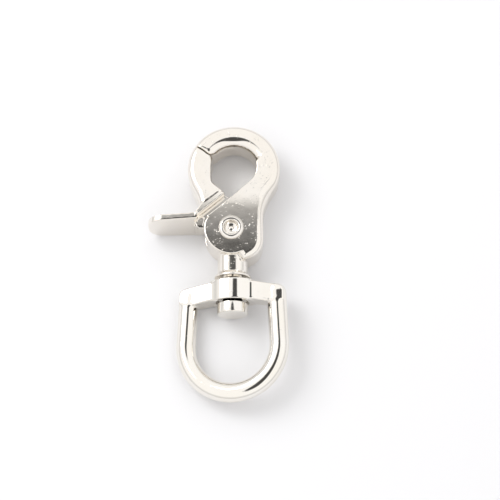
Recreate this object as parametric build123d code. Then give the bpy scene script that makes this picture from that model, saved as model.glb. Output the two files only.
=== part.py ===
from build123d import *
import os
import math

# Scissor snap with a swivel strap eye, nickel-plated zinc die casting.
# It lies on its back: +X right, +Y towards the hook, +Z up out of the front
# face.  The jaw pivot is the Z axis, the back cheek rests on z = 0.

os.makedirs("parts", exist_ok=True)

# ---------------------------------------------------------------- dimensions
T = 12.6            # body thickness, back face to front face
H = T / 2           # height of the swivel axis
CHEEK = 3.1         # thickness of each cheek beside the tongue
TONGUE_GAP = 0.10   # running gap on each side of the tongue
BOSS_R = 9.2        # pivot boss
LOOP = (0.8, 22.1)  # centre of the hook's outer circle
LOOP_R = 15.8
EYE_C = (0.8, 22.5) # centre of the hook's inner circle
EYE_R = 7.8
TIP_A = 150.0       # angle of the joint between the two jaw tips
TIP_GAP = 0.20
FACE_SLOPE = 1.2    # degrees that the hook's faces fall away above the boss
OUT_R = 2.7         # rounding of the hook's outer edges
SADDLE_R = 2.6      # rounding of the hook's load-bearing inside
CHEEK_LINE = 8.6    # distance of the cheek's slanting edge from the pivot
DIAG_LINE = 10.95   # distance of the jaw's slanting step from the pivot
DIAG_A = 40.5       # slope of both
CAVITY_R = 7.35     # space for the tongue's round end
TONGUE_R = 7.0
RIVET_R = 2.40
RIVET_BORE_R = 2.44
NECK_X = 0.5        # the swivel axis stands this far right of the pivot
NECK_R = 5.1
FLANGE_R = 6.25
FLANGE_Y = -16.4    # end face of the flange
HUB_TOP, HUB_BOTTOM = -17.4, -24.6
PIN_R = 3.20        # swivel pin shank
PIN_BORE_R = 3.25   # bore of the hub, running fit
HEAD_R = 5.2
HEAD_TOP, HEAD_END = -25.2, -28.9
WIRE_R = 3.25       # strap eye section
EYE_W = 15.75       # half width of the strap eye's centre line
EYE_BOTTOM_C = -39.35
EYE_TILT = math.degrees(math.asin((H - WIRE_R) / EYE_W))  # it lies on its left side


def rad(a):
    return math.radians(a)


def polar(c, r, a):
    return (c[0] + r * math.cos(rad(a)), c[1] + r * math.sin(rad(a)))


U = (math.cos(rad(DIAG_A)), math.sin(rad(DIAG_A)))      # along the slant
N = (-U[1], U[0])                                       # away from the pivot


def slant(dist, along):
    """Point at a distance from the pivot across the slant and along it."""
    return (N[0] * dist + U[0] * along, N[1] * dist + U[1] * along)


def prism(face_or_sketch, z0, z1):
    return Pos(0, 0, z0) * extrude(face_or_sketch, z1 - z0, dir=(0, 0, 1))


def wire_face(edges):
    return make_face(Wire(edges))


def largest(shape):
    solids = shape.solids()
    return max(solids, key=lambda s: s.volume)


def sloped(solid):
    """Let the faces of the hook fall away a little above the boss."""
    y0 = 9.5
    for side in (1, -1):
        block = Box(80, 60, 10, align=(Align.CENTER, Align.MIN, Align.MIN))
        block = Rot(-FACE_SLOPE, 0, 0) * block
        block = Pos(0, y0, T) * block
        if side < 0:
            block = mirror(block, Plane.XY.offset(H))
        solid = solid - block
    return solid


def try_fillet(solid, edges, radii):
    for r in radii:
        try:
            out = solid.fillet(r, edges)
            if out.is_valid:
                return out, r
        except Exception:
            pass
    return solid, 0.0


# ---------------------------------------------------------------- eye of the hook
# Inner outline of the closed hook: round above, a shallow V below.
vr_dir = 41.0
R_T = polar(EYE_C, EYE_R, vr_dir - 90)                 # right tangent point
apex = slant(CHEEK_LINE, 7.30)
apex = (apex[0], apex[1] + 0.05)
LEFT_LOW = (EYE_C[0] - EYE_R, 19.6)
V_L1 = (-1.9, 12.65)                                   # jaw's end corner
vl = (V_L1[0] - apex[0], V_L1[1] - apex[1])
vl_len = math.hypot(*vl)
V_DIR = (-0.780, 0.625)
V_L0 = (V_L1[0] + V_DIR[0] * 5.2, V_L1[1] + V_DIR[1] * 5.2)

eye_edges = [
    CenterArc((*EYE_C, 0), EYE_R, vr_dir - 90, 180 - (vr_dir - 90)),
    Line((EYE_C[0] - EYE_R, EYE_C[1], 0), (*LEFT_LOW, 0)),
    Spline((*LEFT_LOW, 0), (*V_L0, 0), tangents=[(0, -1, 0), (-V_DIR[0], -V_DIR[1], 0)]),
    Line((*V_L0, 0), (*V_L1, 0)),
    Line((*V_L1, 0), (*apex, 0)),
    Line((*apex, 0), (*R_T, 0)),
]
eye_face = wire_face(eye_edges)

# ---------------------------------------------------------------- hook body
tip_out = polar(LOOP, LOOP_R, TIP_A + 4)
tip_in = polar(EYE_C, EYE_R - 1.0, TIP_A + 4)
A2 = -16.0
s2 = polar(LOOP, LOOP_R, A2)
s3, s4 = (10.9, 3.0), (10.9, -4.0)
s5 = (8.3, -9.6)
s6 = (4.0, -11.3)
outer_edges = [
    CenterArc((*LOOP, 0), LOOP_R, TIP_A + 4, A2 - TIP_A - 4),
    Spline((*s2, 0), (13.25, 12.3, 0), (11.25, 7.0, 0), (*s3, 0),
           tangents=[(math.sin(rad(A2)), -math.cos(rad(A2)), 0), (0, -1, 0)]),
    Line((*s3, 0), (*s4, 0)),
    Spline((*s4, 0), (*s5, 0), (*s6, 0), tangents=[(0, -1, 0), (-1, -0.12, 0)]),
]
close_edges = [
    Line((*s6, 0), (0.0, -6.0, 0)),
    Line((0.0, -6.0, 0), (0.0, 9.0, 0)),
    Line((0.0, 9.0, 0), (*polar(EYE_C, 2.0, -60), 0)),
    Line((*polar(EYE_C, 2.0, -60), 0), (*tip_in, 0)),
    Line((*tip_in, 0), (*tip_out, 0)),
]
hook = prism(wire_face(outer_edges + close_edges), 0, T)
hook = sloped(hook)


def outer_chain(solid, test):
    """Top and bottom edges that run along the outer wall."""
    walls = []
    for f in solid.faces():
        n = f.normal_at()
        if abs(n.Z) > 0.5:
            continue
        if test(f):
            walls.append(f)
    edges = []
    for f in walls:
        for e in f.edges():
            mids = [e @ t for t in (0.1, 0.5, 0.9)]
            if max(m.Z for m in mids) - min(m.Z for m in mids) > 3:
                continue
            edges.append(e)
    return edges


def on_outside(f):
    c = f.center()
    d = math.hypot(c.X - LOOP[0], c.Y - LOOP[1])
    p = f.position_at(0.5, 0.5)
    d = math.hypot(p.X - LOOP[0], p.Y - LOOP[1])
    if p.Y > 17:
        return d > LOOP_R - 0.2
    return p.X > 3.9 and not (abs(p.X) < 0.2)


chain = outer_chain(hook, on_outside)
hook, r_used = try_fillet(hook, chain, (OUT_R, 2.4, 2.0, 1.6, 1.2))
print("hook outer rounding", r_used, len(chain))

# pivot boss, cut along the slanting edge
boss = prism(Circle(BOSS_R), 0, T)
half = Polygon((slant(CHEEK_LINE, -40), slant(CHEEK_LINE, 40), slant(-60, 40), slant(-60, -40)), align=None)
boss = boss & prism(half, -1, T + 1)
# bridge between the boss and the hook's right side
bridge = prism(Polygon([(0, 0), (9.15, 0.6), (9.3, 6.0), (9.9, 10.0), (8.0, 19.5), slant(CHEEK_LINE, 14.5),
                        slant(CHEEK_LINE, -3.8)], align=None), 0, T)
bridge = bridge & prism(half, -1, T + 1)
bridge = sloped(bridge)
rim = [e for e in boss.edges() if e.geom_type == GeomType.CIRCLE]
boss, r_used = try_fillet(boss, rim, (0.6, 0.4))
print("boss rim rounding", r_used)
body = hook + boss + bridge
body = body - prism(eye_face, -1, T + 1)

# neck and flange of the swivel, turned about the swivel axis
neck_profile = [
    (0, -2.0), (NECK_R, -2.0), (NECK_R, -14.6), (NECK_R + 0.35, -15.2), (FLANGE_R - 0.25, -15.55),
    (FLANGE_R, -15.75), (FLANGE_R, FLANGE_Y + 0.15), (FLANGE_R - 0.15, FLANGE_Y), (0, FLANGE_Y),
]
neck_face = make_face(Polyline([(x, y, 0) for x, y in neck_profile], close=True))
neck = revolve(neck_face, Axis.Y)
neck = Pos(NECK_X, 0, H) * neck
body = body + neck

# saddle: the inside of the hook's top is rounded where a ring would hang
for side in (1, -1):
    z_top = T - 0.32
    prof = make_face(Wire([
        Line((EYE_R - 0.6, 0, z_top + 1.2), (EYE_R + SADDLE_R, 0, z_top + 1.2)),
        Line((EYE_R + SADDLE_R, 0, z_top + 1.2), (EYE_R + SADDLE_R, 0, z_top)),
        ThreePointArc((EYE_R + SADDLE_R, 0, z_top),
                      (EYE_R + SADDLE_R * (1 - math.sqrt(0.5)), 0, z_top - SADDLE_R * (1 - math.sqrt(0.5))),
                      (EYE_R, 0, z_top - SADDLE_R)),
        Line((EYE_R, 0, z_top - SADDLE_R), (EYE_R - 0.6, 0, z_top - SADDLE_R)),
        Line((EYE_R - 0.6, 0, z_top - SADDLE_R), (EYE_R - 0.6, 0, z_top + 1.2)),
    ]))
    cutter = revolve(prof, Axis.Z, revolution_arc=140)
    cutter = Rot(0, 0, 22) * cutter
    cutter = Pos(EYE_C[0], EYE_C[1], 0) * cutter
    if side < 0:
        cutter = mirror(cutter, Plane.XY.offset(H))
    body = body - cutter

# the fixed jaw ends on a plane through the ring
tip_mid = polar(EYE_C, 11.5, TIP_A)
body = body - Pos(tip_mid[0], tip_mid[1], H) * (
    Rot(0, 0, TIP_A) * Box(30, 7, 40, align=(Align.CENTER, Align.MIN, Align.CENTER)))

# slot between the cheeks for the jaw's tongue
slot_plan = Polygon([
    (3.4, 6.5), (0.75, 11.7), (-1.5, 16.0), (-30, 16.0), (-30, -9.0), (-9.6, -4.6), (-6.6, -3.1), (0, 0),
], align=None)
slot_plan = slot_plan + Circle(CAVITY_R)
body = body - prism(slot_plan, CHEEK, T - CHEEK)

# rivet bore, with a counterbore for the factory head in the back cheek
body = body - prism(Circle(RIVET_R), -1, T + 1)
body = body - prism(Circle(4.15), -1, 0.95)
# blind bore for the swivel pin
pin_bore = Pos(NECK_X, -9.0, H) * (Rot(90, 0, 0) * Cylinder(PIN_R, 12.0, align=(Align.CENTER, Align.CENTER, Align.MIN)))
body = body - pin_bore
# hole for the spring's fixed leg in the back cheek
LEG_A = -35.0
leg_b = polar((0, 0), 3.35, LEG_A)
body = body - Pos(leg_b[0], leg_b[1], 1.6) * Cylinder(0.50, 3.0, align=(Align.CENTER, Align.CENTER, Align.MIN))
body = largest(body)
export_step(body, "parts/hook_body.step")

# ---------------------------------------------------------------- trigger jaw
j_out0 = polar(LOOP, LOOP_R, TIP_A)
A3 = 188.0
j1 = polar(LOOP, LOOP_R, A3)
j_outer = [
    CenterArc((*LOOP, 0), LOOP_R, TIP_A - 4, A3 - TIP_A + 4),
    Spline((*j1, 0), (-14.05, 15.9, 0), (-12.35, 12.2, 0), (-11.1, 8.6, 0),
           tangents=[(-math.sin(rad(A3)), math.cos(rad(A3)), 0), (0.30, -1, 0)]),
]
j_start = polar(LOOP, LOOP_R, TIP_A - 4)
j_in0 = polar(EYE_C, EYE_R - 2.0, TIP_A - 4)
d_lo = slant(DIAG_LINE, -3.6)
d_hi = slant(DIAG_LINE, 10.5)
j_close = [
    Line((-11.1, 8.6, 0), (*d_lo, 0)),
    Line((*d_lo, 0), (*d_hi, 0)),
    Line((*d_hi, 0), (*j_in0, 0)),
    Line((*j_in0, 0), (*j_start, 0)),
]
jaw = prism(wire_face(j_outer + j_close), 0, T)
jaw = sloped(jaw)


def jaw_outside(f):
    p = f.position_at(0.5, 0.5)
    d = math.hypot(p.X - LOOP[0], p.Y - LOOP[1])
    return p.X < -9.0 and d > 13.5 and p.Y > 9.0


chain = outer_chain(jaw, jaw_outside)
jaw, r_used = try_fillet(jaw, chain, (2.2, 1.8, 1.4, 1.0))
print("jaw outer rounding", r_used, len(chain))

strip = prism(Polygon([slant(DIAG_LINE, 6.9), slant(DIAG_LINE, -6.67), (-12.35, 5.6), (-9.13, 10.33), (-5.0, 13.5)],
                      align=None), 0, T)
jaw = jaw + sloped(strip)
jaw = jaw - prism(eye_face, -1, T + 1)

# joint at the tips: a plane through the ring, with the running gap
n_tip = (math.sin(rad(TIP_A)), -math.cos(rad(TIP_A)))
tip_mid = polar(EYE_C, 11.5, TIP_A)
cut_block = Pos(tip_mid[0] - n_tip[0] * TIP_GAP, tip_mid[1] - n_tip[1] * TIP_GAP, H) * (
    Rot(0, 0, TIP_A) * Box(30, 30, 40, align=(Align.CENTER, Align.MAX, Align.CENTER)))
jaw = jaw - cut_block

# thumb lever: a broad plate, its face square to the front face and leaning a little
def lever_section(z, ytop_r, ytop_l, th):
    return Face(Wire.make_polygon([
        Vector(-11.4, ytop_r + 0.2, z), Vector(-12.35, ytop_r, z), Vector(-28.3, ytop_l, z), Vector(-28.3, ytop_l - th, z),
        Vector(-12.35, ytop_r - th, z), Vector(-11.4, ytop_r - th + 0.1, z)], close=True))


lever = Solid.make_loft([
    lever_section(0, 3.75, 3.45, 2.25).outer_wire(),
    lever_section(T, 5.65, 4.45, 2.25).outer_wire()], True)
end_profile = Pos(-28.3, 20, 0) * (Rot(90, 0, 0) * extrude(
    RectangleRounded(60, T, 5.0, align=(Align.MIN, Align.MIN)), 40))
lever = lever & end_profile
lever = Solid(lever.solids()[0].wrapped) if lever.solids() else lever
sharp = [e for e in lever.edges() if (e @ 0.5).X < -12.5 and e.length > 3.0
         and not (abs((e @ 0.0).Y - (e @ 1.0).Y) > 1.5 and abs((e @ 0.0).Z - (e @ 1.0).Z) < 0.1)]
lever, r_used = try_fillet(lever, sharp, (0.45, 0.35, 0.25))
print("lever edge rounding", r_used)
# root of the lever beside the boss, on the back half only
root = prism(Polygon([(-12.6, 1.5), (-9.75, 1.5), (-9.2, 4.4), slant(DIAG_LINE, -4.6), slant(DIAG_LINE, -6.6),
                      (-12.6, 3.9)], align=None), 0, T - CHEEK - TONGUE_GAP)
root = root - prism(Circle(9.55), -1, CHEEK)
root = root - prism(Circle(9.55), T - CHEEK - TONGUE_GAP, T)

# tongue between the cheeks
z_t0, z_t1 = CHEEK + TONGUE_GAP, T - CHEEK - TONGUE_GAP
tongue_plan = Circle(TONGUE_R) + Polygon([
    (0, 0), (3.2, 6.2), (apex[0] + 0.35, apex[1] - 0.45), (apex[0], apex[1]), V_L1, slant(DIAG_LINE + 0.5, 6.0),
    slant(DIAG_LINE + 0.5, -6.5), (-12.0, 2.6), (-11.3, 0.9), (-6.0, 0.9)], align=None)
tongue = prism(tongue_plan, z_t0, z_t1)
tongue = tongue - prism(Circle(RIVET_BORE_R), 0, T)
# pocket for the spring, open to the back, with a notch for its moving leg
POCKET_R = 4.75
POCKET_TOP = 7.6
tongue = tongue - prism(Circle(POCKET_R), 0, POCKET_TOP)
trigger = jaw + lever + root + tongue
trigger = largest(trigger)
export_step(trigger, "parts/trigger_jaw.step")

# ---------------------------------------------------------------- pivot rivet
riv = [
    (0, 0.0), (4.10, 0.0), (4.10, 0.93), (RIVET_R, 0.93), (RIVET_R, T), (3.55, T), (4.02, T + 0.18), (4.10, T + 0.42),
    (3.80, T + 0.72), (3.30, T + 0.92), (2.80, T + 0.92), (2.42, T + 0.66), (2.20, T + 0.10), (2.02, T - 1.10),
    (0, T - 1.45),
]
rivet = revolve(make_face(Polyline([(x, 0, z) for x, z in riv], close=True)), Axis.Z)
rivet = largest(rivet)
export_step(rivet, "parts/pivot_rivet.step")

# ---------------------------------------------------------------- torsion spring
SP_W = 0.80
SP_R = 3.35
SP_Z0, SP_TURNS, SP_PITCH = 3.72, 3.25, 0.92
# a tube of flat facets along the wire's run: up the fixed leg, round the coil, up the moving leg
SP_SIDES, SP_STEPS = 12, 78
end_a = LEG_A + 360 * SP_TURNS
z_end = SP_Z0 + SP_PITCH * SP_TURNS
e0 = polar((0, 0), SP_R, end_a)
run = [(leg_b[0], leg_b[1], 1.75), (leg_b[0], leg_b[1], 3.2)]
for i in range(SP_STEPS + 1):
    q = polar((0, 0), SP_R, LEG_A + 360 * SP_TURNS * i / SP_STEPS)
    run.append((q[0], q[1], SP_Z0 + SP_PITCH * SP_TURNS * i / SP_STEPS))
run.append((e0[0], e0[1], z_end + 0.75))
rings = []
side_x = Vector(1, 0, 0)
for i, p in enumerate(run):
    along = (Vector(*run[min(i + 1, len(run) - 1)]) - Vector(*run[max(i - 1, 0)])).normalized()
    side_x = (side_x - along * side_x.dot(along)).normalized()
    side_y = along.cross(side_x)
    rings.append([Vector(*p) + side_x * (SP_W / 2 * math.cos(2 * math.pi * k / SP_SIDES))
                  + side_y * (SP_W / 2 * math.sin(2 * math.pi * k / SP_SIDES)) for k in range(SP_SIDES)])
facets = []
for r0, r1 in zip(rings, rings[1:]):
    for k in range(SP_SIDES):
        m = (k + 1) % SP_SIDES
        facets.append(Face(Wire.make_polygon([r0[k], r0[m], r1[m]], close=True)))
        facets.append(Face(Wire.make_polygon([r0[k], r1[m], r1[k]], close=True)))
facets.append(Face(Wire.make_polygon(rings[0][::-1], close=True)))
facets.append(Face(Wire.make_polygon(rings[-1], close=True)))
spring = Solid(Shell(facets))
spring = largest(spring)
export_step(spring, "parts/torsion_spring.step")

# ---------------------------------------------------------------- swivel eye
# built flat about its own swivel axis, then laid over on its left side
hub = Rot(90, 0, 0) * extrude(Ellipse(7.9, 6.1), HUB_TOP - HUB_BOTTOM)
hub = Pos(0, HUB_TOP, 0) * hub
ARM_Z0, ARM_Z1 = 4.0, 2.9


def arm(side):
    pts = [(0, -18.3), (7.5, -18.2), (15.3, -19.7), (17.6, -20.5), (18.0, -22.4), (17.9, -25.0), (12.6, -25.6), (7.5, -24.6), (0, -24.6)]
    pl = Polygon([(side * x, y) for x, y in pts], align=None)
    a = Pos(0, 0, -ARM_Z0) * extrude(pl, 2 * ARM_Z0, dir=(0, 0, 1))
    for s in (1, -1):
        wedge = Pos(side * 6.0, -22, s * ARM_Z0) * (Rot(0, side * s * math.degrees(math.atan2(ARM_Z0 - ARM_Z1, 11.0)), 0) *
                Box(30, 20, 10, align=(Align.MIN if side > 0 else Align.MAX, Align.CENTER, Align.MIN if s > 0 else Align.MAX)))
        a = a - wedge
    return a


eye = hub + arm(1) + arm(-1)
SIDE_LEAN = 2.8
lean_c, lean_s = math.cos(rad(SIDE_LEAN)), math.sin(rad(SIDE_LEAN))
foot = (EYE_W * lean_c, EYE_BOTTOM_C + EYE_W * lean_s)
run = (-22.0 - foot[1]) / lean_c
top = (foot[0] - run * lean_s, -22.0)
ring = revolve(Pos(EYE_W, 0, 0) * (Rot(90, 0, 0) * Circle(WIRE_R)), Axis.Z, revolution_arc=180 + 2 * SIDE_LEAN)
ring = Pos(0, EYE_BOTTOM_C, 0) * (Rot(0, 0, 180 - SIDE_LEAN) * ring)
for s in (1, -1):
    rod = Cylinder(WIRE_R, run, align=(Align.CENTER, Align.CENTER, Align.MIN))
    rod = Rot(-90, 0, 0) * rod
    rod = Rot(0, 0, s * SIDE_LEAN) * rod
    ring = ring + Pos(s * foot[0], foot[1], 0) * rod
print("ring solids", len(ring.solids()), "volume", ring.volume)
eye = eye + ring
# bore and the countersunk seat round the pin's head
eye = eye - Pos(0, -10, 0) * (Rot(90, 0, 0) * Cylinder(PIN_BORE_R, 30, align=(Align.CENTER, Align.CENTER, Align.MIN)))
seat = revolve(make_face(Polyline([(0, HUB_BOTTOM - 1, 0), (5.55, HUB_BOTTOM - 1, 0), (5.55, HUB_BOTTOM + 0.7, 0), (0, HUB_BOTTOM + 0.7, 0)], close=True)), Axis.Y)
eye = eye - seat
eye = Rot(0, -EYE_TILT, 0) * eye
eye = Pos(NECK_X, 0, H) * eye
eye = largest(eye)
export_step(eye, "parts/swivel_eye.step")

# ---------------------------------------------------------------- swivel pin
pin_prof = [
    (0, -9.4), (PIN_R - 0.3, -9.4), (PIN_R, -9.7), (PIN_R, HEAD_TOP), (HEAD_R - 0.25, HEAD_TOP), (HEAD_R, HEAD_TOP - 0.25),
    (HEAD_R, HEAD_END + 0.55), (HEAD_R - 0.18, HEAD_END + 0.18), (HEAD_R - 0.55, HEAD_END), (0, HEAD_END),
]
pin = revolve(make_face(Polyline([(x, y, 0) for x, y in pin_prof], close=True)), Axis.Y)
pin = Pos(NECK_X, 0, H) * pin
pin = largest(pin)
export_step(pin, "parts/swivel_pin.step")

for name, s in (("hook_body", body), ("trigger_jaw", trigger), ("pivot_rivet", rivet),
                ("torsion_spring", spring), ("swivel_eye", eye), ("swivel_pin", pin)):
    b = s.bounding_box()
    print(name, "volume", round(s.volume, 1), "min", [round(v, 2) for v in b.min], "max", [round(v, 2) for v in b.max],
          "valid", s.is_valid)
print("tilt", round(EYE_TILT, 2))
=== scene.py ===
import bpy
import math
import numpy as np
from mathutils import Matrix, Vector


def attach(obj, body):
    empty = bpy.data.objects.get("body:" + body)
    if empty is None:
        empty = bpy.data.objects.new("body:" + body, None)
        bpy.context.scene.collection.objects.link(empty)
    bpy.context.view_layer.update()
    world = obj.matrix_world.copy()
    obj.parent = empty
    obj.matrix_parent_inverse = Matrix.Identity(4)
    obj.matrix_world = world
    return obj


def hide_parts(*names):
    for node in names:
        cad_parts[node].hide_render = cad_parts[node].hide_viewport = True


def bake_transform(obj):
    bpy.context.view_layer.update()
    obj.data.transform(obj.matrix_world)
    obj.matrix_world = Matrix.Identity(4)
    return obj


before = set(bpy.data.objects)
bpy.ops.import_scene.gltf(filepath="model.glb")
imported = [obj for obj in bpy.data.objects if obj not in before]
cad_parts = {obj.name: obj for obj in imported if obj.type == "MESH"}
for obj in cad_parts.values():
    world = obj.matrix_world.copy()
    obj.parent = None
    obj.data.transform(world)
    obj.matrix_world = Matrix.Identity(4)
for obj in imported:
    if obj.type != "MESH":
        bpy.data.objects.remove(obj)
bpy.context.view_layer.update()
MM = 0.001

# ------------------------------------------------------------------ dimensions (mm), as in the CAD
T = 12.6
H = T / 2
CHEEK, TONGUE_GAP = 3.1, 0.10
BOSS_R = 9.2
LOOP, LOOP_R = (0.8, 22.1), 15.8
EYE_C, EYE_R = (0.8, 22.5), 7.8
TIP_A, TIP_GAP = 150.0, 0.20
SLOPE = math.tan(math.radians(1.2))
CHEEK_LINE, DIAG_LINE, DIAG_A = 8.6, 10.95, 40.5
NECK_X = 0.5
EYE_W, EYE_CY, WIRE_R = 15.75, -39.35, 3.25
TILT = math.asin((H - WIRE_R) / EYE_W)


def rad(a):
    return math.radians(a)


def polar(c, r, a):
    return (c[0] + r * math.cos(rad(a)), c[1] + r * math.sin(rad(a)))


U = (math.cos(rad(DIAG_A)), math.sin(rad(DIAG_A)))
N = (-U[1], U[0])


def slant(dist, along):
    return (N[0] * dist + U[0] * along, N[1] * dist + U[1] * along)


# ------------------------------------------------------------------ distance fields
def rround(a, b, r):
    """Both a < 0 and b < 0, the edge between them rounded to radius r."""
    u = a + r
    v = b + r
    return np.minimum(np.maximum(u, v), 0) + np.sqrt(np.maximum(u, 0) ** 2 + np.maximum(v, 0) ** 2) - r


def smin(a, b, k):
    h = np.clip(0.5 + 0.5 * (b - a) / k, 0, 1)
    return b * (1 - h) + a * h - k * h * (1 - h)


def smooth(e0, e1, x):
    t = np.clip((x - e0) / (e1 - e0), 0, 1)
    return t * t * (3 - 2 * t)


def hermite(p0, t0, p1, t1, n=14):
    out = []
    L = math.hypot(p1[0] - p0[0], p1[1] - p0[1])
    for i in range(n + 1):
        s = i / n
        h00, h10 = 2 * s ** 3 - 3 * s ** 2 + 1, s ** 3 - 2 * s ** 2 + s
        h01, h11 = -2 * s ** 3 + 3 * s ** 2, s ** 3 - s ** 2
        out.append((h00 * p0[0] + h10 * L * t0[0] + h01 * p1[0] + h11 * L * t1[0],
                    h00 * p0[1] + h10 * L * t0[1] + h01 * p1[1] + h11 * L * t1[1]))
    return out


def catmull(points, t0, t1, n=12):
    """Smooth run through points with given end directions."""
    tans = [t0]
    for i in range(1, len(points) - 1):
        a, b = points[i - 1], points[i + 1]
        L = math.hypot(b[0] - a[0], b[1] - a[1])
        tans.append(((b[0] - a[0]) / L, (b[1] - a[1]) / L))
    tans.append(t1)
    out = []
    for i in range(len(points) - 1):
        out += hermite(points[i], tans[i], points[i + 1], tans[i + 1], n)[:-1]
    return out + [points[-1]]


def arc(c, r, a0, a1, step=1.0):
    n = max(2, int(abs(a1 - a0) / step))
    return [polar(c, r, a0 + (a1 - a0) * i / n) for i in range(n + 1)]


class Field:
    """Signed distance to a plan outline, softened a little, sampled with a cubic B-spline."""

    def __init__(self, poly, box, h=0.1, blur=0.15):
        self.h, self.x0, self.y0 = h, box[0], box[1]
        nx, ny = int((box[2] - box[0]) / h) + 1, int((box[3] - box[1]) / h) + 1
        x = (box[0] + h * np.arange(nx))[:, None]
        y = (box[1] + h * np.arange(ny))[None, :]
        best = np.full((nx, ny), 1e9)
        inside = np.zeros((nx, ny), bool)
        P = [p for i, p in enumerate(poly) if i == 0 or math.hypot(p[0] - poly[i - 1][0], p[1] - poly[i - 1][1]) > 1e-6]
        for i in range(len(P)):
            ax, ay = P[i]
            bx, by = P[(i + 1) % len(P)]
            ex, ey = bx - ax, by - ay
            L = ex * ex + ey * ey
            if L < 1e-12:
                continue
            t = np.clip(((x - ax) * ex + (y - ay) * ey) / L, 0, 1)
            d = (x - ax - t * ex) ** 2 + (y - ay - t * ey) ** 2
            np.minimum(best, d, out=best)
            if ay != by:
                cross = ((ay > y) != (by > y)) & (x < (bx - ax) * (y - ay) / (by - ay) + ax)
                inside ^= cross
        g = np.sqrt(best) * np.where(inside, -1, 1)
        if blur > 0:
            n = int(3 * blur / h) + 1
            k = np.exp(-0.5 * (np.arange(-n, n + 1) * h / blur) ** 2)
            k /= k.sum()
            for ax_ in (0, 1):
                pad = [(0, 0), (0, 0)]
                pad[ax_] = (n, n)
                q = np.pad(g, pad, mode="reflect", reflect_type="odd")
                out = np.zeros_like(g)
                for j, w in enumerate(k):
                    sl = [slice(None), slice(None)]
                    sl[ax_] = slice(j, j + g.shape[ax_])
                    out += w * q[tuple(sl)]
                g = out
        self.g = g

    def __call__(self, x, y):
        x, y = np.broadcast_arrays(x, y)
        u = np.clip((x - self.x0) / self.h, 1.001, self.g.shape[0] - 3.001)
        v = np.clip((y - self.y0) / self.h, 1.001, self.g.shape[1] - 3.001)
        i, j = u.astype(int), v.astype(int)
        s, t = u - i, v - j

        def w(f):
            return ((1 - f) ** 3 / 6, (3 * f ** 3 - 6 * f ** 2 + 4) / 6,
                    (-3 * f ** 3 + 3 * f ** 2 + 3 * f + 1) / 6, f ** 3 / 6)
        ws, wt = w(s), w(t)
        out = 0.0
        for a in range(4):
            row = 0.0
            for b in range(4):
                row = row + wt[b] * self.g[i + a - 1, j + b - 1]
            out = out + ws[a] * row
        return out


# ------------------------------------------------------------------ surface from a field
def surface(f, lo, hi, h):
    """Closed quad mesh of f = 0, its points and normals taken from the field itself."""
    ax = [lo[i] + h * np.arange(int(math.ceil((hi[i] - lo[i]) / h)) + 2) for i in range(3)]
    F = f(ax[0][:, None, None], ax[1][None, :, None], ax[2][None, None, :])
    F = np.ascontiguousarray(np.broadcast_to(F, tuple(len(a) for a in ax)))
    ins = F < 0
    n = [s - 1 for s in F.shape]
    cnt = np.zeros(n, np.int8)
    for dx in (0, 1):
        for dy in (0, 1):
            for dz in (0, 1):
                cnt += ins[dx:dx + n[0], dy:dy + n[1], dz:dz + n[2]]
    act = (cnt > 0) & (cnt < 8)
    I, J, K = np.nonzero(act)
    idx = np.full(n, -1, np.int64)
    idx[I, J, K] = np.arange(len(I))
    acc = np.zeros((len(I), 3))
    num = np.zeros(len(I))
    for axis in range(3):
        o1, o2 = [a for a in range(3) if a != axis]
        for b1 in (0, 1):
            for b2 in (0, 1):
                off = [0, 0, 0]
                off[o1], off[o2] = b1, b2
                i, j, k = I + off[0], J + off[1], K + off[2]
                fa = F[i, j, k]
                e = [0, 0, 0]
                e[axis] = 1
                fb = F[i + e[0], j + e[1], k + e[2]]
                c = (fa < 0) != (fb < 0)
                t = np.where(c, fa / np.where(c, fa - fb, 1), 0)
                p = np.stack([np.full(len(I), off[0], float), np.full(len(I), off[1], float), np.full(len(I), off[2], float)], 1)
                p[:, axis] += t
                acc += p * c[:, None]
                num += c
    V = acc / num[:, None] + np.stack([I, J, K], 1)
    V = V * h + np.array([a[0] for a in ax])
    quads = []
    for axis in range(3):
        o1, o2 = (axis + 1) % 3, (axis + 2) % 3
        sl_a = [slice(None)] * 3
        sl_b = [slice(None)] * 3
        sl_a[axis], sl_b[axis] = slice(0, n[axis]), slice(1, n[axis] + 1)
        a, b = ins[tuple(sl_a)], ins[tuple(sl_b)]
        cr = np.argwhere(a != b)
        ok = (cr[:, o1] > 0) & (cr[:, o2] > 0) & (cr[:, o1] < n[o1]) & (cr[:, o2] < n[o2])
        cr = cr[ok]
        flip = a[cr[:, 0], cr[:, 1], cr[:, 2]]
        cells = []
        for d1, d2 in ((-1, -1), (0, -1), (0, 0), (-1, 0)):
            c = cr.copy()
            c[:, o1] += d1
            c[:, o2] += d2
            cells.append(idx[c[:, 0], c[:, 1], c[:, 2]])
        q = np.stack(cells, 1)
        q = np.where(flip[:, None], q, q[:, ::-1])
        quads.append(q)
    Q = np.concatenate(quads)

    def grad(P, e=0.015):
        g = np.zeros_like(P)
        for a_ in range(3):
            d = np.zeros(3)
            d[a_] = e
            g[:, a_] = (f(*(P + d).T) - f(*(P - d).T)) / (2 * e)
        return g
    start = V.copy()
    for _ in range(3):
        g = grad(V)
        s = f(*V.T) / np.maximum((g * g).sum(1), 0.2)
        step = -g * s[:, None]
        L = np.linalg.norm(step, axis=1)
        step *= np.minimum(1, 0.4 * h / np.maximum(L, 1e-9))[:, None]
        V = V + step
    V = start + np.clip(V - start, -0.75 * h, 0.75 * h)
    g = grad(V)
    Nrm = g / np.maximum(np.linalg.norm(g, axis=1), 1e-9)[:, None]
    return V, Q, Nrm


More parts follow.
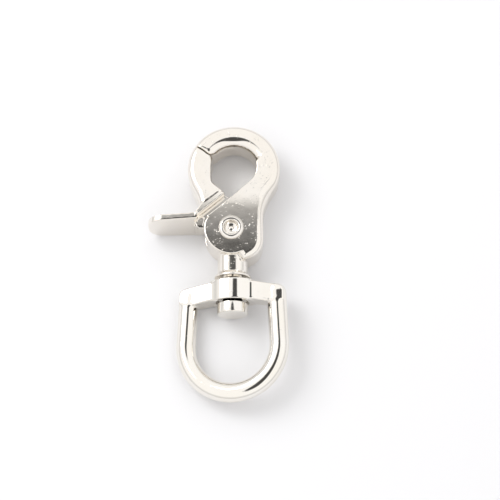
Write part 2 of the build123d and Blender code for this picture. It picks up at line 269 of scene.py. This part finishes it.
def to_object(name, V, Q, Nrm=None):
    me = bpy.data.meshes.new(name)
    me.vertices.add(len(V))
    me.vertices.foreach_set("co", (np.asarray(V) * MM).astype(np.float32).ravel())
    me.loops.add(Q.size)
    me.loops.foreach_set("vertex_index", Q.astype(np.int32).ravel())
    me.polygons.add(len(Q))
    me.polygons.foreach_set("loop_start", (np.arange(len(Q)) * Q.shape[1]).astype(np.int32))
    me.polygons.foreach_set("loop_total", np.full(len(Q), Q.shape[1], np.int32))
    me.polygons.foreach_set("use_smooth", np.ones(len(Q), bool))
    me.update(calc_edges=True)
    me.validate()
    if Nrm is not None:
        me.normals_split_custom_set_from_vertices(Nrm.astype(np.float32).tolist())
    ob = bpy.data.objects.new(name, me)
    bpy.context.scene.collection.objects.link(ob)
    return ob


def turned(name, profile, centre, axis, n=160):
    """A profile of (radius, height) turned about an axis, the ends closed on it."""
    m = len(profile)
    V, Q = [], []
    for i in range(n):
        a = 2 * math.pi * i / n
        c, s = math.cos(a), math.sin(a)
        for r, z in profile:
            if axis == "Z":
                V.append((centre[0] + r * c, centre[1] + r * s, centre[2] + z))
            else:
                V.append((centre[0] + r * c, centre[1] + z, centre[2] - r * s))
    for i in range(n):
        j = (i + 1) % n
        for k in range(m - 1):
            Q.append((i * m + k, j * m + k, j * m + k + 1, i * m + k + 1))
    me = bpy.data.meshes.new(name)
    me.from_pydata([tuple(c * MM for c in v) for v in V], [], Q)
    import bmesh
    bm = bmesh.new()
    bm.from_mesh(me)
    bmesh.ops.remove_doubles(bm, verts=bm.verts, dist=1e-7)
    bmesh.ops.dissolve_degenerate(bm, edges=bm.edges, dist=1e-7)
    bmesh.ops.recalc_face_normals(bm, faces=bm.faces)
    for f_ in bm.faces:
        f_.smooth = True
    bm.to_mesh(me)
    bm.free()
    ob = bpy.data.objects.new(name, me)
    bpy.context.scene.collection.objects.link(ob)
    return ob


def round_profile(points, n=6):
    """Corner points (r, z, radius) to a polyline with rounded corners."""
    out = []
    for i, (x, y, r) in enumerate(points):
        if r <= 0 or i in (0, len(points) - 1):
            out.append((x, y))
            continue
        a, b = points[i - 1], points[i + 1]
        va, vb = (a[0] - x, a[1] - y), (b[0] - x, b[1] - y)
        la, lb = math.hypot(*va), math.hypot(*vb)
        va, vb = (va[0] / la, va[1] / la), (vb[0] / lb, vb[1] / lb)
        ang = math.acos(max(-1, min(1, va[0] * vb[0] + va[1] * vb[1])))
        d = min(r / math.tan(ang / 2), 0.49 * la, 0.49 * lb)
        rr = d * math.tan(ang / 2)
        bis = (va[0] + vb[0], va[1] + vb[1])
        lbis = math.hypot(*bis)
        cx, cy = x + bis[0] / lbis * rr / math.sin(ang / 2), y + bis[1] / lbis * rr / math.sin(ang / 2)
        p0, p1 = (x + va[0] * d, y + va[1] * d), (x + vb[0] * d, y + vb[1] * d)
        a0, a1 = math.atan2(p0[1] - cy, p0[0] - cx), math.atan2(p1[1] - cy, p1[0] - cx)
        while a1 - a0 > math.pi:
            a1 -= 2 * math.pi
        while a1 - a0 < -math.pi:
            a1 += 2 * math.pi
        for s in range(n + 1):
            t = a0 + (a1 - a0) * s / n
            out.append((cx + rr * math.cos(t), cy + rr * math.sin(t)))
    return out


# ------------------------------------------------------------------ shared outlines
R_T = polar(EYE_C, EYE_R, 41.0 - 90)
apex = slant(CHEEK_LINE, 7.30)
apex = (apex[0], apex[1] + 0.05)
V_L1 = (-1.9, 12.65)
V_DIR = (-0.780, 0.625)
V_L0 = (V_L1[0] + V_DIR[0] * 5.2, V_L1[1] + V_DIR[1] * 5.2)
LEFT_LOW = (EYE_C[0] - EYE_R, 19.6)
eye_poly = (arc(EYE_C, EYE_R, -49, 180) + hermite(LEFT_LOW, (0, -1), V_L0, (-V_DIR[0], -V_DIR[1]))
            + [V_L1, apex])
BOX = (-20, -22, 24, 44)
f_eye = Field(eye_poly, BOX, 0.1, 0.22)


def half_thick(y):
    u = np.maximum(y - 9.5, 0)
    u = np.where(y < 12.5, np.clip(y - 6.5, 0, 6) ** 2 / 12.0, y - 9.5)
    return H - np.maximum(u, 0) * SLOPE


n_tip = (math.sin(rad(TIP_A)), -math.cos(rad(TIP_A)))
tip_mid = polar(EYE_C, 11.5, TIP_A)


def tip_plane(x, y, z):
    """Positive on the fixed jaw's side; the parting is a shallow hook in plan, as cast."""
    r = (x - EYE_C[0]) * math.cos(rad(TIP_A)) + (y - EYE_C[1]) * math.sin(rad(TIP_A))
    d = (x - tip_mid[0]) * n_tip[0] + (y - tip_mid[1]) * n_tip[1]
    return d + 0.55 * np.exp(-((r - 10.2) / 1.5) ** 2) - 0.2


# ------------------------------------------------------------------ hook body
A2 = -16.0
s2 = polar(LOOP, LOOP_R, A2)
t2 = (math.sin(rad(A2)), -math.cos(rad(A2)))
hook_poly = (arc(LOOP, LOOP_R, TIP_A + 4, A2)
             + catmull([s2, (13.1, 12.3), (11.2, 7.0), (10.8, 3.0)], t2, (0, -1))[1:]
             + catmull([(10.8, -3.6), (10.1, -6.9), (8.1, -9.4), (4.0, -11.1)], (0, -1), (-0.98, -0.12))
             + [(0.0, -6.0), (0.0, 9.0), polar(EYE_C, 2.0, -60), polar(EYE_C, EYE_R - 1, TIP_A + 4)])
f_hook = Field(hook_poly, BOX, 0.1, 0.15)
bridge_poly = [(0, 0), (9.15, 0.6), (9.3, 6.0), (9.9, 10.0), (8.0, 19.5), slant(CHEEK_LINE, 14.5), slant(CHEEK_LINE, -3.8)]
f_bridge = Field(bridge_poly, BOX, 0.1, 0.15)
slot_poly = [(3.4, 6.5), (0.75, 11.7), (-1.5, 16.0), (-30, 16.0), (-30, -9.0), (-9.6, -4.6), (-6.6, -3.1), (0, 0)]
f_slot = Field(slot_poly, (-32, -12, 8, 20), 0.1, 0.1)
neck_poly = [(-5.1, -1.0), (5.1, -1.0), (5.1, -14.45), (5.3, -15.0), (5.9, -15.42), (6.2, -15.7), (6.22, -16.2), (6.05, -16.38),
             (-6.05, -16.38), (-6.22, -16.2), (-6.2, -15.7), (-5.9, -15.42), (-5.3, -15.0), (-5.1, -14.45)]
f_neck = Field(neck_poly, (-9, -20, 9, 3), 0.05, 0.10)


def slant_side(x, y):
    return (x * N[0] + y * N[1]) - CHEEK_LINE


def body_field(x, y, z):
    zc = np.abs(z - H)
    ht = half_thick(y)
    w = np.exp(-(((x - 12.5) / 4.5) ** 2 + ((y - 11.5) / 7.0) ** 2))
    hook = rround(f_hook(x, y), zc - ht, 2.25 + 1.6 * w)
    r = np.sqrt(x * x + y * y)
    plan = rround(r - BOSS_R, slant_side(x, y), 1.6)
    boss = rround(plan, zc - H, 0.5)
    bridge = rround(np.maximum(f_bridge(x, y), slant_side(x, y)), zc - ht, 0.35)
    d = np.minimum(hook, np.minimum(boss, bridge))
    # inside of the hook; its upper part is rounded where a ring hangs
    ang = np.degrees(np.arctan2(y - EYE_C[1], x - EYE_C[0]))
    k = 0.30 + 2.85 * smooth(10, 26, ang)
    k = np.where((ang < -90) | (ang > 179), 3.15, k)
    k = np.where(y < 17, 0.30, k)
    d = rround(d, -f_eye(x, y), k)
    # tip of the fixed jaw
    cut = np.maximum(-tip_plane(x, y, z), 19 - y)
    d = rround(d, np.maximum(-tip_plane(x, y, z), -1e3) * np.where(y > 19, 1, 0) + np.where(y > 19, 0, -50), 0.45)
    # neck
    rho = np.sqrt((x - NECK_X) ** 2 + (z - H) ** 2)
    neck = rround(f_neck(rho, y), np.where(y > -14.6, zc - 4.86, zc - 4.86 - (-14.6 - y) * 2.0), 0.25)
    d = smin(d, neck, 0.45)
    # slot for the tongue
    slot = np.maximum(np.minimum(f_slot(x, y), r - 7.35), zc - (H - CHEEK))
    d = rround(d, -slot, 0.28)
    d = np.maximum(d, -(r - 2.43))
    d = np.maximum(d, -np.maximum(r - 4.13, z - 0.95))
    d = np.maximum(d, -np.maximum(rho - 3.22, y + 9.35))
    return d


V, Q, Nn = surface(body_field, (-14.2, -17.2, -0.4), (17.4, 38.6, 13.0), 0.27)
body = to_object("body_casting", V, Q, Nn)
print("body", len(V), len(Q))

# ------------------------------------------------------------------ trigger jaw
A3 = 188.0
j1 = polar(LOOP, LOOP_R, A3)
jaw_poly = (arc(LOOP, LOOP_R, TIP_A - 4, A3)
            + catmull([j1, (-13.85, 15.9), (-12.2, 12.2), (-11.0, 8.6)], (math.sin(rad(8.0)), -math.cos(rad(8.0))), (0.29, -0.957))[1:]
            + [slant(DIAG_LINE, -3.6), slant(DIAG_LINE, 10.5), polar(EYE_C, EYE_R - 2, TIP_A - 4)])
JB = (-34, -12, 12, 36)
f_jaw = Field(jaw_poly, JB, 0.1, 0.12)
f_strip = Field([slant(DIAG_LINE, 6.9), slant(DIAG_LINE, -6.67), (-12.35, 5.6), (-9.13, 10.33), (-5.0, 13.5)], JB, 0.1, 0.12)
f_root = Field([(-12.6, 1.5), (-9.75, 1.5), (-9.2, 4.4), slant(DIAG_LINE, -4.6), slant(DIAG_LINE, -6.6), (-12.6, 3.9)], JB, 0.1, 0.1)
f_tongue = Field([(0, 0), (3.2, 6.2), (apex[0] + 0.35, apex[1] - 0.45), apex, V_L1, slant(DIAG_LINE + 0.5, 6.0),
                  slant(DIAG_LINE + 0.5, -6.5), (-12.0, 2.6), (-11.3, 0.9), (-6.0, 0.9)], JB, 0.1, 0.08)


def jaw_field(x, y, z):
    zc = np.abs(z - H)
    ht = half_thick(y)
    w = np.exp(-(((x + 12.0) / 3.5) ** 2 + ((y - 12.5) / 5.0) ** 2))
    ring = rround(f_jaw(x, y), zc - ht, 2.2 + 0.7 * w)
    strip = rround(f_strip(x, y), zc - ht, 0.38)
    d = smin(ring, strip, 0.12)
    ang = np.degrees(np.arctan2(y - EYE_C[1], x - EYE_C[0]))
    ang = np.where(ang < 0, ang + 360, ang)
    k = 0.75 + 1.9 * (1 - smooth(149, 172, ang)) * (y > 17)
    d = rround(d, -f_eye(x, y), k)
    d = rround(d, np.where(y > 17, tip_plane(x, y, z) + TIP_GAP, -50), 0.40)
    # thumb lever
    s = np.clip((-12.35 - x) / 15.95, -0.2, 1.05)
    yt = (3.75 - 0.30 * s) + ((5.65 - 1.20 * s) - (3.75 - 0.30 * s)) * (z / T)
    lean = 1.0 / math.sqrt(1 + 0.13 ** 2)
    plate = np.maximum(y - yt, yt - 2.25 - y) * lean
    ex = rround(-28.3 - x, zc - H, 5.0)
    end = np.maximum(ex, x + 11.6)
    lever = rround(plate, end, 0.5)
    d = smin(d, lever, 0.35)
    root = rround(f_root(x, y), np.maximum(z - (T - CHEEK - TONGUE_GAP), -z), 0.2)
    r = np.sqrt(x * x + y * y)
    root = np.maximum(root, 9.55 - r)
    d = smin(d, root, 0.2)
    tongue = rround(np.minimum(f_tongue(x, y), r - 7.0), zc - (H - CHEEK - TONGUE_GAP), 0.15)
    d = smin(d, tongue, 0.25)
    d = np.maximum(d, -(r - 2.44))
    d = np.maximum(d, -np.maximum(r - 4.75, z - 7.6))
    return d


V, Q, Nn = surface(jaw_field, (-29.2, -7.8, -0.4), (8.0, 31.6, 13.0), 0.24)
jaw = to_object("jaw_casting", V, Q, Nn)
print("jaw", len(V), len(Q))

# ------------------------------------------------------------------ swivel eye
arm_poly = [(-8, -18.3), (7.5, -18.2), (15.3, -19.6), (17.3, -20.3), (17.9, -21.8), (17.9, -25.0), (12.4, -25.55), (7.5, -24.6), (-8, -24.6)]
f_arm = Field(arm_poly, (-10, -30, 22, -14), 0.05, 0.16)
foot = (EYE_W * math.cos(rad(2.8)), EYE_CY + EYE_W * math.sin(rad(2.8)))
top = (foot[0] - (-22.0 - foot[1]) * math.tan(rad(2.8)), -22.0)


def eye_field(x, y, z):
    xw, zw = x - NECK_X, z - H
    xl = xw * math.cos(TILT) + zw * math.sin(TILT)
    zl = -xw * math.sin(TILT) + zw * math.cos(TILT)
    axl = np.sqrt(xl * xl + 0.01)
    q0 = np.sqrt((xl / 7.9) ** 2 + (zl / 6.1) ** 2) + 1e-6
    q1 = np.sqrt((xl / 7.9 ** 2) ** 2 + (zl / 6.1 ** 2) ** 2) + 1e-6
    hub = rround(q0 * (q0 - 1) / q1, np.abs(y + 21.0) - 3.6, 0.45)
    thick = 4.0 - np.clip(axl - 6.0, 0, 13) * 0.085
    arm = rround(f_arm(axl, y), np.abs(zl) - thick, 0.7)
    d = smin(hub, arm, 0.9)
    rr = np.sqrt(axl ** 2 + (y - EYE_CY) ** 2)
    L2 = (top[0] - foot[0]) ** 2 + (top[1] - foot[1]) ** 2
    t = np.clip(((axl - foot[0]) * (top[0] - foot[0]) + (y - foot[1]) * (top[1] - foot[1])) / L2, 0, 1)
    dl = np.sqrt((axl - foot[0] - t * (top[0] - foot[0])) ** 2 + (y - foot[1] - t * (top[1] - foot[1])) ** 2)
    below = (y - EYE_CY) < axl * math.tan(rad(2.8))
    dc = np.where(below, np.abs(rr - EYE_W), dl)
    ring = np.sqrt(dc ** 2 + zl ** 2) - WIRE_R
    d = smin(d, ring, 0.8)
    rho = np.sqrt(xw ** 2 + zw ** 2)
    # bore and countersink for the pin, through the hub only
    d = np.maximum(d, -np.maximum(rho - 3.25, -30.0 - y))
    d = rround(d, -np.maximum(np.maximum(rho - 5.55, y + 23.9), -30.0 - y), 0.15)
    return d


V, Q, Nn = surface(eye_field, (-19.4, -59.2, -0.5), (20.2, -16.8, 13.3), 0.25)
eye = to_object("eye_casting", V, Q, Nn)
print("eye", len(V), len(Q))

# ------------------------------------------------------------------ rivet, pin, spring
rivet_prof = round_profile([
    (0, 0.0, 0), (4.08, 0.0, 0.25), (4.08, 0.92, 0), (2.40, 0.92, 0), (2.40, T, 0), (4.10, T + 0.03, 0), (4.16, T + 0.32, 0.25),
    (3.95, T + 0.55, 0.3), (3.42, T + 0.92, 0.5), (2.60, T + 0.92, 0.5), (2.28, T + 0.30, 0.4), (2.05, T - 1.20, 0.4), (0.95, T - 1.45, 0.2),
    (0.75, T - 1.25, 0.2), (0, T - 1.15, 0)], 7)
rivet = turned("rolled_rivet", rivet_prof, (0, 0, 0), "Z", 128)
pin_prof = round_profile([
    (0, -9.45, 0), (3.19, -9.45, 0.3), (3.19, -25.2, 0), (5.2, -25.2, 0.25), (5.2, -28.9, 0.5), (3.0, -28.9, 0), (0, -28.9, 0)], 8)
pin = turned("headed_pin", pin_prof, (NECK_X, 0, H), "Y", 160)

LEG_A, SP_R, SP_W, SP_Z0, SP_TURNS, SP_PITCH = -35.0, 3.35, 0.78, 3.72, 3.25, 0.92
pts = []
b = polar((0, 0), SP_R, LEG_A)
pts += [(b[0], b[1], 1.8), (b[0], b[1], 3.0)]
steps = 130
for i in range(steps + 1):
    a = LEG_A + 360 * SP_TURNS * i / steps
    p = polar((0, 0), SP_R, a)
    pts.append((p[0], p[1], SP_Z0 + SP_PITCH * SP_TURNS * i / steps))
e = polar((0, 0), SP_R, LEG_A + 360 * SP_TURNS)
pts += [(e[0], e[1], SP_Z0 + SP_PITCH * SP_TURNS + 0.5)]
cu = bpy.data.curves.new("spring_wire", "CURVE")
cu.dimensions = "3D"
cu.bevel_depth = SP_W / 2 * MM
cu.bevel_resolution = 4
cu.use_fill_caps = True
sp = cu.splines.new("POLY")
sp.points.add(len(pts) - 1)
for q, p in zip(sp.points, pts):
    q.co = (p[0] * MM, p[1] * MM, p[2] * MM, 1)
spring_curve = bpy.data.objects.new("spring_curve", cu)
bpy.context.scene.collection.objects.link(spring_curve)
dg = bpy.context.evaluated_depsgraph_get()
me = bpy.data.meshes.new_from_object(spring_curve.evaluated_get(dg))
bpy.data.objects.remove(spring_curve)
me.name = "coil_spring"
for p in me.polygons:
    p.use_smooth = True
spring = bpy.data.objects.new("coil_spring", me)
bpy.context.scene.collection.objects.link(spring)


# ------------------------------------------------------------------ materials
def nickel(name, color, rough, pits=0.0, orange=0.3, face_z=None):
    m = bpy.data.materials.new(name)
    m.use_nodes = True
    nt = m.node_tree
    nt.nodes.clear()
    out = nt.nodes.new("ShaderNodeOutputMaterial")
    bs = nt.nodes.new("ShaderNodeBsdfPrincipled")
    nt.links.new(bs.outputs[0], out.inputs[0])
    bs.inputs["Metallic"].default_value = 1.0
    tc = nt.nodes.new("ShaderNodeTexCoord")
    # gentle warm-cool drift of the plating
    n0 = nt.nodes.new("ShaderNodeTexNoise")
    n0.inputs["Scale"].default_value = 95
    n0.inputs["Detail"].default_value = 2
    nt.links.new(tc.outputs["Object"], n0.inputs["Vector"])
    cr = nt.nodes.new("ShaderNodeValToRGB")
    cr.color_ramp.elements[0].position, cr.color_ramp.elements[1].position = 0.35, 0.68
    cr.color_ramp.elements[0].color = (color[0] * 0.985, color[1] * 0.975, color[2] * 0.955, 1)
    cr.color_ramp.elements[1].color = (*color, 1)
    nt.links.new(n0.outputs["Fac"], cr.inputs["Fac"])
    # fine specks in the plating
    vo = nt.nodes.new("ShaderNodeTexVoronoi")
    vo.inputs["Scale"].default_value = 1500
    nt.links.new(tc.outputs["Object"], vo.inputs["Vector"])
    n1 = nt.nodes.new("ShaderNodeTexNoise")
    n1.inputs["Scale"].default_value = 420
    n1.inputs["Detail"].default_value = 3
    nt.links.new(tc.outputs["Object"], n1.inputs["Vector"])
    sp_ = nt.nodes.new("ShaderNodeMapRange")
    sp_.inputs["From Min"].default_value, sp_.inputs["From Max"].default_value = 0.30, 0.10
    sp_.inputs["To Min"].default_value, sp_.inputs["To Max"].default_value = 0.0, 1.0
    nt.links.new(vo.outputs["Distance"], sp_.inputs["Value"])
    gate = nt.nodes.new("ShaderNodeMapRange")
    gate.inputs["From Min"].default_value, gate.inputs["From Max"].default_value = 0.50, 0.66
    nt.links.new(n1.outputs["Fac"], gate.inputs["Value"])
    mul = nt.nodes.new("ShaderNodeMath")
    mul.operation = "MULTIPLY"
    nt.links.new(sp_.outputs["Result"], mul.inputs[0])
    nt.links.new(gate.outputs["Result"], mul.inputs[1])
    nt.links.new(cr.outputs["Color"], bs.inputs["Base Color"])
    # roughness: polish that varies a little, dull in the specks
    rr_ = nt.nodes.new("ShaderNodeMapRange")
    rr_.inputs["From Min"].default_value, rr_.inputs["From Max"].default_value = 0.3, 0.7
    rr_.inputs["To Min"].default_value, rr_.inputs["To Max"].default_value = rough * 0.8, rough * 1.3
    nt.links.new(n1.outputs["Fac"], rr_.inputs["Value"])
    ad = nt.nodes.new("ShaderNodeMath")
    ad.operation = "MULTIPLY_ADD"
    ad.inputs[1].default_value = 0.25 * pits
    nt.links.new(mul.outputs[0], ad.inputs[0])
    nt.links.new(rr_.outputs["Result"], ad.inputs[2])
    nt.links.new(ad.outputs[0], bs.inputs["Roughness"])
    # bump: slight waviness of the casting under the plate, and the specks
    n2 = nt.nodes.new("ShaderNodeTexNoise")
    n2.inputs["Scale"].default_value = 260
    n2.inputs["Detail"].default_value = 1.5
    nt.links.new(tc.outputs["Object"], n2.inputs["Vector"])
    b1 = nt.nodes.new("ShaderNodeBump")
    b1.inputs["Strength"].default_value = 1.0
    b1.inputs["Distance"].default_value = 0.000012 * orange
    nt.links.new(n2.outputs["Fac"], b1.inputs["Height"])
    b2 = nt.nodes.new("ShaderNodeBump")
    b2.inputs["Strength"].default_value = 1.0
    b2.inputs["Distance"].default_value = 0.00006 * pits + 0.000002
    nt.links.new(mul.outputs[0], b2.inputs["Height"])
    nt.links.new(b1.outputs["Normal"], b2.inputs["Normal"])
    nt.links.new(b2.outputs["Normal"], bs.inputs["Normal"])
    return m


NI = (0.870, 0.835, 0.785)
mat_body = nickel("nickel_body", NI, 0.085, pits=0.8, orange=0.5)
mat_jaw = nickel("nickel_jaw", NI, 0.085, pits=0.15, orange=0.5)
mat_eye = nickel("nickel_eye", (0.885, 0.86, 0.815), 0.06, pits=0.15, orange=0.4)
mat_rivet = nickel("nickel_rivet", (0.87, 0.84, 0.80), 0.10, pits=0.2, orange=0.3)
mat_pin = nickel("nickel_pin", (0.87, 0.845, 0.80), 0.08, pits=0.1, orange=0.3)
mat_spring = nickel("spring_wire", (0.55, 0.54, 0.53), 0.28, pits=0.1, orange=0.6)

for ob, node, bdy, mat, slot in (
        (body, "hook_body", "body", mat_body, "body_nickel"),
        (jaw, "trigger_jaw", "jaw", mat_jaw, "jaw_nickel"),
        (eye, "swivel_eye", "eye", mat_eye, "eye_nickel"),
        (rivet, "pivot_rivet", "body", mat_rivet, "rivet_nickel"),
        (pin, "swivel_pin", "body", mat_pin, "pin_nickel"),
        (spring, "torsion_spring", "body", mat_spring, "spring_steel")):
    ob.data.materials.clear()
    ob.data.materials.append(mat)
    if ob is spring:
        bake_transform(ob)
    else:
        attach(ob, bdy)
    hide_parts(node)

# ------------------------------------------------------------------ floor, light, camera
bpy.ops.mesh.primitive_plane_add(size=6.0, location=(0, 0, -0.00002))
floor = bpy.context.object
floor.name = "floor"
fm = bpy.data.materials.new("floor_white")
fm.use_nodes = True
fb = fm.node_tree.nodes["Principled BSDF"]
fb.inputs["Base Color"].default_value = (0.86, 0.86, 0.875, 1)
fb.inputs["Roughness"].default_value = 0.9
fb.inputs["Specular IOR Level"].default_value = 0.1
floor.data.materials.append(fm)

world = bpy.data.worlds.new("tent")
bpy.context.scene.world = world
world.use_nodes = True
nt = world.node_tree
nt.nodes.clear()
wo = nt.nodes.new("ShaderNodeOutputWorld")
bg = nt.nodes.new("ShaderNodeBackground")
nt.links.new(bg.outputs[0], wo.inputs[0])
tc = nt.nodes.new("ShaderNodeTexCoord")
sep = nt.nodes.new("ShaderNodeSeparateXYZ")
nt.links.new(tc.outputs["Generated"], sep.inputs[0])


def wmath(op, a, b=None, c=None):
    n = nt.nodes.new("ShaderNodeMath")
    n.operation = op
    for i, v in enumerate((a, b, c)):
        if v is None:
            continue
        if isinstance(v, (int, float)):
            n.inputs[i].default_value = v
        else:
            nt.links.new(v, n.inputs[i])
    return n.outputs[0]


X, Y, Z = sep.outputs[0], sep.outputs[1], sep.outputs[2]
# dark opening of the tent overhead, long in Y
CY, AX, AY = -0.10, 0.22, 0.46
ex_ = wmath("POWER", wmath("ABSOLUTE", wmath("DIVIDE", X, AX)), 2.6)
ey_ = wmath("POWER", wmath("ABSOLUTE", wmath("DIVIDE", wmath("SUBTRACT", Y, CY), AY)), 2.6)
el = wmath("ADD", ex_, ey_)
patch = nt.nodes.new("ShaderNodeMapRange")
patch.interpolation_type = "SMOOTHSTEP"
patch.inputs["From Min"].default_value, patch.inputs["From Max"].default_value = 0.80, 1.25
patch.inputs["To Min"].default_value, patch.inputs["To Max"].default_value = 0.0, 1.0
nt.links.new(el, patch.inputs["Value"])
up = nt.nodes.new("ShaderNodeMapRange")
up.inputs["From Min"].default_value, up.inputs["From Max"].default_value = 0.02, 0.45
up.inputs["To Min"].default_value, up.inputs["To Max"].default_value = 0.62, 1.0
nt.links.new(Z, up.inputs["Value"])
dark = wmath("MULTIPLY_ADD", patch.outputs["Result"], 0.93, 0.07)
lvl = wmath("MULTIPLY", dark, up.outputs["Result"])
col = nt.nodes.new("ShaderNodeCombineColor")
nt.links.new(wmath("MULTIPLY", lvl, 1.0), col.inputs[0])
nt.links.new(wmath("MULTIPLY", lvl, 0.992), col.inputs[1])
nt.links.new(wmath("MULTIPLY", lvl, 0.985), col.inputs[2])
nt.links.new(col.outputs[0], bg.inputs["Color"])
bg.inputs["Strength"].default_value = 1.12

ld = bpy.data.lights.new("softbox", "AREA")
ld.shape = "RECTANGLE"
ld.size, ld.size_y = 0.5, 0.5
ld.energy = 3.0
lo_ = bpy.data.objects.new("softbox", ld)
lo_.location = (-0.55, 0.35, 0.65)
bpy.context.scene.collection.objects.link(lo_)
lo_.rotation_euler = (Vector((0, 0, 0)) - lo_.location).to_track_quat("-Z", "Y").to_euler()

cam_d = bpy.data.cameras.new("camera")
cam = bpy.data.objects.new("camera", cam_d)
bpy.context.scene.collection.objects.link(cam)
cam_d.sensor_width = 36.0
cam_d.sensor_fit = "HORIZONTAL"
cam_d.lens = 90.0
cam_d.clip_start, cam_d.clip_end = 0.02, 20
EL, DIST = rad(71.0), 0.417
target = Vector((0.00633, -0.0081, 0.0126))
view = Vector((0, math.cos(EL), -math.sin(EL)))
cam.location = target - view * DIST
cam.rotation_euler = (math.pi / 2 - EL, 0, 0)
bpy.context.scene.camera = cam
bpy.context.scene.view_settings.view_transform = "Standard"
bpy.context.scene.view_settings.look = "None"
